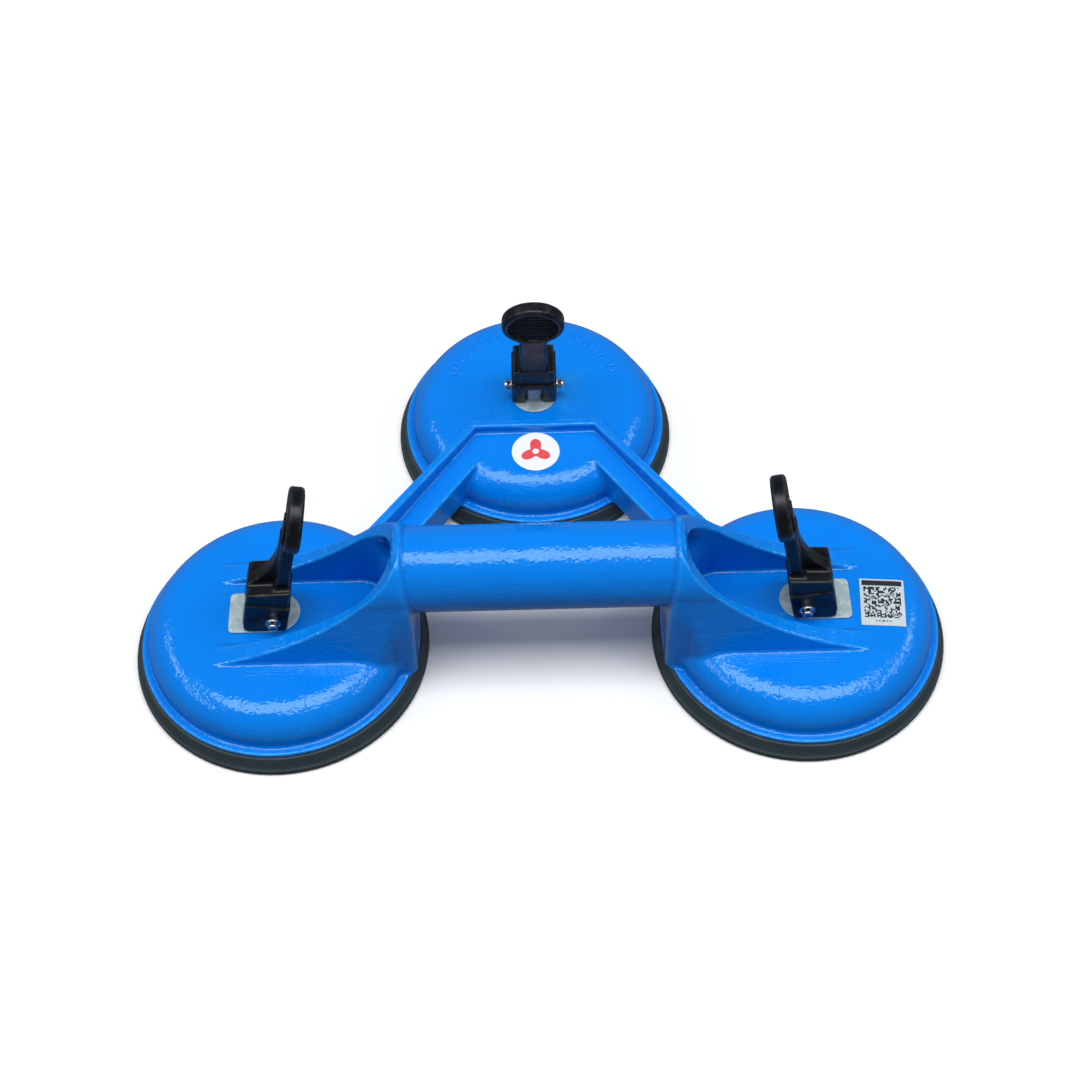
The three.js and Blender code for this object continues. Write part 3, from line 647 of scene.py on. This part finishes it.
def clip_shape():
    """An E clip: an open ring with three prongs that reach into the groove."""
    start, end = math.pi / 2 + CLIP_MOUTH, 2.5 * math.pi - CLIP_MOUTH
    ring = arc(0, 0, CLIP_R, start, end, 30)
    for middle, back in ((end - 0.15, 2.0), (1.5 * math.pi, 1.0), (start + 0.15, 0)):
        ring += arc(0, 0, GROOVE_R + 0.1, middle + 0.18, middle - 0.18, 4)
        if back:
            ring += arc(0, 0, 2.2, middle - 0.5, middle - back, 6)
    return slab(ring, -0.3, 0.3, 0.1)


def plate_shape():
    """A wear plate, round towards the middle and square with round corners outside."""
    corner, edge = PLATE_CORNER - PLATE_OUT, PLATE_HALF - PLATE_CORNER
    outline = arc(0, 0, PLATE_HALF, -math.pi / 2, math.pi / 2, 28)
    outline += arc(corner, edge, PLATE_CORNER, math.pi / 2, math.pi, 7)
    outline += arc(corner, -edge, PLATE_CORNER, math.pi, 1.5 * math.pi, 7)
    return slab(outline, PLATE_LOW[2], PLATE_HIGH[2], 0.28)


def build_hardware(zinc, bright):
    """Pins, clips, wear plates and studs; the pad inserts keep their CAD shape."""
    clip_y = LEVER_HALF + 0.45
    pin_points, pin_faces = pin_shape(clip_y)
    clip_points, clip_faces = clip_shape()
    plate_points, plate_faces = plate_shape()
    cell = 0.5
    stud_points, stud_faces = field_mesh(stud, (-8, -8, STUD_BASE - 1), (8, 8, 5), cell)
    stud_points = stud_points + (0, 0, PIN_Z)
    for cup in CUPS:
        arm = f"{cup}_stud"
        placed = at_cup(turned_on_pin(pin_points), cup)
        mesh_piece(f"{cup}_pin", placed, pin_faces, bright, arm, (f"{cup}_pivot_pin",))
        for side, name in ((-1, "near"), (1, "far")):
            placed = at_cup(turned_on_pin(clip_points) + (0, side * clip_y, 0), cup)
            replaced = (f"{cup}_pin_clip_{name}",)
            piece = f"{cup}_clip_{name}"
            mesh_piece(piece, placed, clip_faces, bright, arm, replaced, smooth=False)
        placed = at_cup(plate_points, cup)
        replaced = (f"{cup}_wear_plate",)
        piece = f"{cup}_plate"
        mesh_piece(piece, placed, plate_faces, zinc, "frame", replaced, smooth=False)
        placed = at_cup(stud_points, cup)
        replaced = (f"{cup}_pull_stud",)
        mesh_piece(f"{cup}_draw_stud", placed, stud_faces, zinc, arm, replaced)
        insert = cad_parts[f"{cup}_pad_insert"].data
        insert.materials.clear()
        insert.materials.append(zinc)


# ---- Labels and cast marks -----------------------------------------------------------------

LABEL_THICK = 0.25
ROUND_LABEL_R = 10.25
CODE_WIDE, CODE_TALL = 8.9, 11.2  # half sizes
CODE_OUT, CODE_BACK = 31.9, -2.2  # from the right cup's axis
CODE_TURN = -0.075


def skin_patch(name, centre, turn, us, vs, cup, materials, printed, replaced, slot):
    """A thin sheet that follows a dome, on a grid of us by vs about a centre on that dome.
    printed says which of its cells carry the second material."""
    u, v = np.meshgrid(us, vs, indexing="ij")
    c, s = math.cos(turn), math.sin(turn)
    x, y = centre[0] + c * u - s * v, centre[1] + s * u + c * v
    cx, cy = CENTRES[cup]
    z = dome_height(np.hypot(x - cx, y - cy))
    step = 0.01
    slope = (dome_height(np.hypot(x - cx, y - cy) + step) - z) / step
    tall = np.hypot(1, slope)
    nu, nv = len(us), len(vs)
    top = np.stack((x, y, z + (REST_GAP + LABEL_THICK) * tall), 2).reshape(-1, 3)
    bottom = np.stack((x, y, z + REST_GAP * tall), 2).reshape(-1, 3)
    count = nu * nv
    faces, inks = [], []
    for i in range(nu - 1):
        for j in range(nv - 1):
            a, b, d, e = i * nv + j, (i + 1) * nv + j, (i + 1) * nv + j + 1, i * nv + j + 1
            faces.append((a, b, d, e))
            inks.append(int(printed((us[i] + us[i + 1]) / 2, (vs[j] + vs[j + 1]) / 2)))
            faces.append((count + e, count + d, count + b, count + a))
            inks.append(0)
            sides = ((j == 0, a, b), (i == nu - 2, b, d), (j == nv - 2, d, e), (i == 0, e, a))
            for rim, p, q in sides:
                if rim:
                    faces.append((p, count + p, count + q, q))
                    inks.append(0)
    points = np.concatenate((top, bottom))
    piece = mesh_piece(name, points, faces, materials, "frame", replaced, smooth=False)
    piece.data.polygons.foreach_set("material_index", inks)


def polar_patch(name, centre, radius, cup, material, replaced):
    """A thin round sheet that follows a dome."""
    rings, sides = 14, 72
    thick, edge = LABEL_THICK, radius - 0.05
    profile = [(0, 0), (edge, 0), (radius, thick / 2), (edge, thick)]
    profile += [(radius * k / rings, thick) for k in range(rings - 1, 0, -1)] + [(0, thick)]
    points, faces = lathe(profile, sides)
    points = points + (*centre, 0)
    cx, cy = CENTRES[cup]
    points[:, 2] += dome_height(np.hypot(points[:, 0] - cx, points[:, 1] - cy)) + REST_GAP
    mesh_piece(name, points, faces, material, "frame", replaced, smooth=False)


def build_labels(paper, ink, emblem):
    """A round sticker on the rear dome, and a card of random squares on the right one."""
    centre = LABEL_MIDDLE[:2]
    polar_patch("round_sticker", centre, ROUND_LABEL_R, "rear", emblem, ("round_label",))
    cell = 0.62
    us = np.concatenate(([-CODE_WIDE], cell * np.arange(-13, 14), [CODE_WIDE]))
    vs = np.concatenate(([-CODE_TALL], cell * np.arange(-17, 18), [CODE_TALL]))
    size = 60
    dots = np.random.default_rng(7).random((size, size)) < 0.5

    def printed(u, v):
        """A bar along the top, a field of random squares and a row of dashes below it."""
        i, j = int(u / cell) + size // 2, int(v / cell) + size // 2
        if v > 8.0:
            return v < 10.4 and abs(u) < 8.0
        if -7.7 < v < 7.2:
            return abs(u) < 7.6 and dots[i, j]
        return -9.6 < v < -8.6 and abs(u) < 3.2 and i % 2 == 0

    centre = (FRONT_X + CODE_OUT, FRONT_Y + CODE_BACK)
    materials = [paper, ink]
    replaced = ("code_label",)
    grid = (centre, CODE_TURN, us, vs, "right")
    skin_patch("code_sticker", *grid, materials, printed, replaced, "paper_label")


def raised_bar(points, faces, a, b, half, rise, cup):
    """Adds a low rounded ridge between two points on a dome, as cast."""
    a, b = np.array(a, float), np.array(b, float)
    along = (b - a) / np.linalg.norm(b - a)
    across = np.array((-along[1], along[0]))
    cx, cy = CENTRES[cup]
    steps = max(2, int(np.linalg.norm(b - a) / 0.8) + 1)
    section = [(-1, -0.6), (-0.8, 0.35), (-0.35, 0.9), (0.35, 0.9), (0.8, 0.35), (1, -0.6)]
    base = len(points)
    for t in np.linspace(0, 1, steps):
        end = min(t, 1 - t) == 0
        for w, h in section:
            p = a + (b - a) * t + across * w * half * (0.5 if end else 1)
            z = float(dome_height(np.hypot(*(p - (cx, cy)))))
            points.append((*p, z + h * rise * (0.2 if end and h > 0 else 1)))
    n = len(section)
    for i in range(steps - 1):
        for j in range(n):
            k = (j + 1) % n
            p = base + i * n
            faces.append((p + k, p + j, p + n + j, p + n + k))
    faces.append(tuple(base + j for j in range(n)))
    faces.append(tuple(base + (steps - 1) * n + j for j in reversed(range(n))))


def build_cast_marks(paint):
    """Low cast relief: an arc of plain bars behind the rear lever and a frame on each front dome."""
    points, faces = [], []
    cx, cy = CENTRES["rear"]
    wide, long = 1.5, 2.5
    for side in (-1, 1):
        for k in range(6):
            angle = math.radians(90 + side * (26 + 8 * k))
            u = np.array((math.cos(angle), math.sin(angle)))
            v = np.array((-u[1], u[0]))
            middle = np.array((cx, cy)) + 38.5 * u
            for end in (-1, 1):
                bar = middle + end * wide * v
                raised_bar(points, faces, bar - long * u, bar + long * u, 0.6, 0.5, "rear")
                if k % 3 != 1:
                    bar = middle + end * long * u
                    half = (wide - 0.8) * v
                    raised_bar(points, faces, bar - half, bar + half, 0.55, 0.45, "rear")
    mesh_piece("rear_cast_marks", points, faces, paint, "frame")
    for cup, sign in (("left", -1), ("right", 1)):
        points, faces = [], []
        x0, x1 = sign * (FRONT_X - 13.4), sign * (FRONT_X + 11.4)
        y0, y1 = FRONT_Y - 29.0, FRONT_Y - 43.5
        raised_bar(points, faces, (x0, y0), (x1, y0), 0.4, 0.2, cup)
        raised_bar(points, faces, (x0, y0 + 1.5), (x1, y0 + 1.5), 0.35, 0.16, cup)
        raised_bar(points, faces, (x0, y0 - 0.8), (x0, y1), 0.3, 0.1, cup)
        raised_bar(points, faces, (x1, y0 - 0.8), (x1, y1), 0.3, 0.1, cup)
        mesh_piece(f"{cup}_cast_frame", points, faces, paint, "frame")


# ---- Materials -----------------------------------------------------------------------------

class Finish:
    """A material built from nodes, on the piece's own coordinates in metres."""

    def __init__(self, name, **values):
        self.material = bpy.data.materials.new(name)
        self.material.use_nodes = True
        self.tree = self.material.node_tree
        self.shader = self.tree.nodes["Principled BSDF"]
        for key, value in values.items():
            self.shader.inputs[key.replace("_", " ")].default_value = value
        self.place = self.node("ShaderNodeTexCoord").outputs["Object"]
        self.surface = None

    def node(self, kind, settings=None, **inputs):
        made = self.tree.nodes.new(kind)
        for key, value in (settings or {}).items():
            setattr(made, key, value)
        for key, value in inputs.items():
            socket = made.inputs[int(key[1:])] if key[0] == "i" and key[1:].isdigit() else made.inputs[key]
            self.feed(socket, value)
        return made

    def feed(self, socket, value):
        if isinstance(value, bpy.types.NodeSocket):
            self.tree.links.new(value, socket)
        else:
            socket.default_value = value

    def noise(self, wavelength, detail=3.0, roughness=0.55, stretch=None):
        """Soft noise with features about wavelength metres across."""
        place = self.place
        if stretch:
            place = self.node("ShaderNodeMapping", Vector=place, Scale=stretch).outputs["Vector"]
        inputs = {"Vector": place, "Scale": 1 / wavelength, "Detail": detail, "Roughness": roughness}
        return self.node("ShaderNodeTexNoise", **inputs).outputs["Fac"]

    def spots(self, wavelength):
        """Distance from the nearest of many scattered points, about wavelength metres apart."""
        made = self.node("ShaderNodeTexVoronoi", Vector=self.place, Scale=1 / wavelength)
        return made.outputs["Distance"]

    def band(self, value, low, high, to_low=0.0, to_high=1.0):
        """value between low and high, spread smoothly from to_low to to_high."""
        inputs = {"Value": value, "From Min": low, "From Max": high}
        inputs |= {"To Min": to_low, "To Max": to_high}
        smooth = {"interpolation_type": "SMOOTHSTEP"}
        return self.node("ShaderNodeMapRange", smooth, **inputs).outputs["Result"]

    def math(self, operation, a, b=0.0):
        return self.node("ShaderNodeMath", {"operation": operation}, i0=a, i1=b).outputs[0]

    def attribute(self, name):
        return self.node("ShaderNodeAttribute", {"attribute_name": name}).outputs["Fac"]

    def mixed(self, share, a, b):
        return self.node("ShaderNodeMix", {"data_type": "RGBA"}, Factor=share, i6=a, i7=b).outputs[2]

    def colour(self, value):
        self.feed(self.shader.inputs["Base Color"], value)
        return self

    def rough(self, value):
        self.feed(self.shader.inputs["Roughness"], value)
        return self

    def relief(self, height, depth):
        """Adds bumps of up to depth metres."""
        inputs = {"Height": height, "Distance": depth, "Strength": 1.0}
        if self.surface is not None:
            inputs["Normal"] = self.surface
        self.surface = self.node("ShaderNodeBump", **inputs).outputs["Normal"]
        self.tree.links.new(self.surface, self.shader.inputs["Normal"])
        return self


def rgb(r, g, b):
    """A colour given as 0 to 255 display values."""
    def linear(c):
        c /= 255
        return c / 12.92 if c <= 0.04045 else ((c + 0.055) / 1.055) ** 2.4
    return (linear(r), linear(g), linear(b), 1.0)


def paint_finish():
    """Thick gloss enamel on a sand casting: orange peel, slow waviness, a painted highlight along outside
    edges and painted shade in corners.
    """
    f = Finish("blue enamel", Specular_IOR_Level=0.45, Specular_Tint=(0.7, 1.0, 0.62, 1))
    tone = f.mixed(f.noise(0.045, 2), rgb(0, 121, 226), rgb(0, 130, 238))
    edge = f.attribute("edge")
    # Painted highlight: lighter blue along outside edges, broken up by noise.
    edge_highlight = f.math("MULTIPLY", f.band(edge, 0.15, 0.7), f.band(f.noise(0.004, 4), 0.35, 0.65, 0.1, 0.5))
    tone = f.mixed(edge_highlight, tone, rgb(40, 158, 246))
    # Painted shade: darker blue in concave corners and creases.
    corner_shade = f.math("MULTIPLY", f.band(edge, -0.05, -0.5), 0.35)
    tone = f.mixed(corner_shade, tone, rgb(0, 84, 178))
    speck = f.band(f.spots(0.006), 0.05, 0.02, 0.0, 0.4)
    tone = f.mixed(speck, tone, rgb(10, 140, 240))
    f.colour(tone)
    f.rough(f.band(f.noise(0.008, 3), 0.3, 0.7, 0.09, 0.16))
    f.relief(f.noise(0.013, 1), 0.0003)
    f.relief(f.noise(0.0042, 2, 0.45), 0.00019)
    f.relief(f.noise(0.0015, 1), 0.00018)
    return f.material


def rubber_finish():
    """Moulded black rubber with a bloom of fine dust and shallow mould rings."""
    f = Finish("black rubber", Specular_IOR_Level=0.35)
    tone = f.mixed(f.noise(0.02, 4), rgb(40, 52, 57), rgb(58, 72, 78))
    dust = f.band(f.noise(0.0012, 3, 0.7), 0.6, 0.78, 0.0, 0.3)
    tone = f.mixed(dust, tone, rgb(84, 92, 94))
    f.colour(tone)
    f.rough(f.band(f.noise(0.006, 4), 0.3, 0.7, 0.5, 0.72))
    f.relief(f.noise(0.0009, 2), 0.00006)
    height = f.node("ShaderNodeSeparateXYZ", Vector=f.place).outputs["Z"]
    rings = f.math("SINE", f.math("MULTIPLY", height, 2 * math.pi / 0.0011))
    f.relief(rings, 0.00003)
    return f.material


def plastic_finish():
    """Glass-filled black nylon: fine spark texture, rubbed smoother and greyer on its edges."""
    f = Finish("black nylon", Specular_IOR_Level=0.3)
    tone = f.mixed(f.noise(0.012, 3), rgb(4, 7, 12), rgb(8, 12, 19))
    edge = f.attribute("edge")
    rubbed = f.math("MULTIPLY", f.band(edge, 0.25, 1.0), f.band(f.noise(0.003, 4), 0.35, 0.7, 0.05, 0.55))
    tone = f.mixed(rubbed, tone, rgb(62, 68, 76))
    warm = f.band(f.noise(0.017, 2), 0.55, 0.75, 0.0, 0.5)
    tone = f.mixed(warm, tone, rgb(30, 15, 16))
    f.colour(tone)
    f.rough(f.band(f.noise(0.005, 4), 0.3, 0.7, 0.24, 0.4))
    f.relief(f.noise(0.00055, 2), 0.00003)
    f.relief(f.noise(0.006, 2), 0.00008)
    return f.material


def zinc_finish():
    """Galvanised sheet steel: cloudy crystals, fine scratches and a dull oxide film."""
    f = Finish("galvanised steel", Metallic=0.25)
    spangle = f.node("ShaderNodeTexVoronoi", Vector=f.place, Scale=1 / 0.0022).outputs["Color"]
    grey = f.node("ShaderNodeSeparateXYZ", Vector=spangle).outputs["X"]
    tone = f.mixed(f.band(grey, 0.0, 1.0, 0.2, 0.8), rgb(158, 182, 190), rgb(200, 216, 220))
    stain = f.band(f.noise(0.006, 4), 0.52, 0.72, 0.0, 0.55)
    tone = f.mixed(stain, tone, rgb(128, 146, 146))
    f.colour(tone)
    scratches = f.noise(0.0006, 2, 0.5, stretch=(1.0, 0.06, 1.0))
    f.rough(f.math("ADD", f.band(f.noise(0.004, 4), 0.3, 0.7, 0.32, 0.5), f.math("MULTIPLY", scratches, 0.1)))
    f.relief(scratches, 0.00002)
    f.relief(f.noise(0.003, 3), 0.00005)
    return f.material


def bright_finish():
    """Plated pins and clips: bright, with turning marks and a few dull spots."""
    f = Finish("bright plated steel", Metallic=1.0)
    tone = f.mixed(f.band(f.noise(0.0015, 4), 0.5, 0.7, 0.0, 0.6), rgb(224, 227, 230), rgb(150, 156, 160))
    f.colour(tone)
    f.rough(f.band(f.noise(0.0011, 3), 0.3, 0.7, 0.16, 0.36))
    f.relief(f.noise(0.0005, 2, stretch=(0.2, 1.0, 1.0)), 0.000015)
    return f.material


def paper_finish(name, tone_a, tone_b):
    """Coated label stock or its ink: faint fibre, scuffs and a slight satin sheen."""
    f = Finish(name, Specular_IOR_Level=0.4)
    tone = f.mixed(f.noise(0.003, 4), tone_a, tone_b)
    scuff = f.band(f.noise(0.0016, 4, 0.65), 0.62, 0.75, 0.0, 0.25)
    f.colour(f.mixed(scuff, tone, rgb(150, 156, 160)))
    f.rough(f.band(f.noise(0.002, 3), 0.3, 0.7, 0.38, 0.55))
    f.relief(f.noise(0.0007, 3), 0.000015)
    return f.material


def emblem_finish():
    """White sticker with a plain red three-lobed mark of no maker."""
    f = Finish("round sticker print", Specular_IOR_Level=0.4)
    middle = tuple(LABEL_MIDDLE * MM)
    local = f.node("ShaderNodeVectorMath", {"operation": "SUBTRACT"}, i0=f.place, i1=middle).outputs[0]
    parts = f.node("ShaderNodeSeparateXYZ", Vector=local).outputs
    squares = [f.math("MULTIPLY", parts[axis], parts[axis]) for axis in "XY"]
    radius = f.math("SQRT", f.math("ADD", *squares))
    angle = f.math("ARCTAN2", parts["Y"], parts["X"])
    lobes = f.math("SINE", f.math("MULTIPLY", angle, 3.0))
    reach = f.math("ADD", f.math("MULTIPLY", lobes, -0.0021), 0.0047)
    inside = f.band(f.math("SUBTRACT", radius, reach), 0.0001, -0.0001)
    hub = f.band(radius, 0.0013, 0.0015)
    print_area = f.math("MULTIPLY", inside, hub)
    white = f.mixed(f.noise(0.003, 4), rgb(226, 230, 233), rgb(240, 242, 244))
    red = f.mixed(f.noise(0.0012, 3), rgb(214, 62, 70), rgb(232, 92, 96))
    f.colour(f.mixed(print_area, white, red))
    f.rough(f.band(f.noise(0.002, 3), 0.3, 0.7, 0.32, 0.5))
    f.relief(f.noise(0.0009, 3), 0.000015)
    return f.material


# ---- Floor, light and camera ---------------------------------------------------------------

def build_floor():
    """A plain pale floor just under the pads."""
    f = Finish("studio floor", Specular_IOR_Level=0.0)
    f.colour(f.mixed(f.noise(0.2, 3), (0.93, 0.935, 0.94, 1), (0.95, 0.955, 0.96, 1)))
    f.rough(0.9)
    mesh = bpy.data.meshes.new("studio_floor")
    maker = bmesh.new()
    bmesh.ops.create_grid(maker, x_segments=8, y_segments=8, size=6)
    maker.to_mesh(mesh)
    maker.free()
    mesh.materials.append(f.material)
    floor = bpy.data.objects.new("studio_floor", mesh)
    floor.location.z = -0.0002
    floor.visible_diffuse = False  # it stays white without lighting the sides from below
    floor.visible_glossy = False
    bpy.context.scene.collection.objects.link(floor)


def softbox(name, place, target, size, radiance):
    """A rectangular lamp, its size in metres, aimed at a target."""
    light = bpy.data.lights.new(name, "AREA")
    light.shape = "RECTANGLE"
    light.size, light.size_y = size
    light.energy = radiance * math.pi * size[0] * size[1]
    lamp = bpy.data.objects.new(name, light)
    lamp.location = place
    lamp.rotation_euler = (Vector(target) - Vector(place)).to_track_quat("-Z", "Y").to_euler()
    bpy.context.scene.collection.objects.link(lamp)


def build_studio():
    """An overhead key light with a low strip on each side."""
    world = bpy.data.worlds.new("studio")
    world.use_nodes = True
    back = world.node_tree.nodes["Background"]
    back.inputs["Color"].default_value = (0.9, 0.95, 1.0, 1)
    back.inputs["Strength"].default_value = 0.2
    bpy.context.scene.world = world
    softbox("key", (0, -0.32, 2.5), (0, -0.05, 0), (3.0, 1.2), 5.6)
    for side in (-1, 1):
        softbox(f"strip {side}", (2.1 * side, 0.0, 1.8), (0, 0, 0), (2.4, 0.32), 5.5)
    bpy.context.scene.view_settings.view_transform = "Standard"


CAMERA_PLACE = (-0.003084, -0.48573, 0.664288)
CAMERA_ANGLES = (0.476, 54.03, -1.0247)  # to the right, down, and roll, in degrees
CAMERA_LENS = 63.72


def build_camera():
    yaw, pitch, roll = (math.radians(a) for a in CAMERA_ANGLES)
    forward = Vector((math.sin(yaw) * math.cos(pitch), math.cos(yaw) * math.cos(pitch), -math.sin(pitch)))
    level = Vector((math.cos(yaw), -math.sin(yaw), 0))
    up = level.cross(forward)
    right = level * math.cos(roll) + up * math.sin(roll)
    top = up * math.cos(roll) - level * math.sin(roll)
    data = bpy.data.cameras.new("camera")
    data.sensor_width = 36
    data.lens = CAMERA_LENS
    data.clip_start = 0.01
    camera = bpy.data.objects.new("camera", data)
    turn = Matrix((right, top, -forward)).transposed().to_4x4()
    camera.matrix_world = Matrix.Translation(CAMERA_PLACE) @ turn
    bpy.context.scene.collection.objects.link(camera)
    bpy.context.scene.camera = camera


# ---- Everything ----------------------------------------------------------------------------

build_camera()
build_studio()
build_floor()
enamel = paint_finish()
build_casting(enamel)
build_levers(plastic_finish())
build_pads(rubber_finish())
build_hardware(zinc_finish(), bright_finish())
stock = paper_finish("label paper", rgb(184, 198, 206), rgb(204, 216, 222))
print_ink = paper_finish("label ink", rgb(22, 24, 34), rgb(36, 38, 48))
build_labels(stock, print_ink, emblem_finish())
build_cast_marks(enamel)
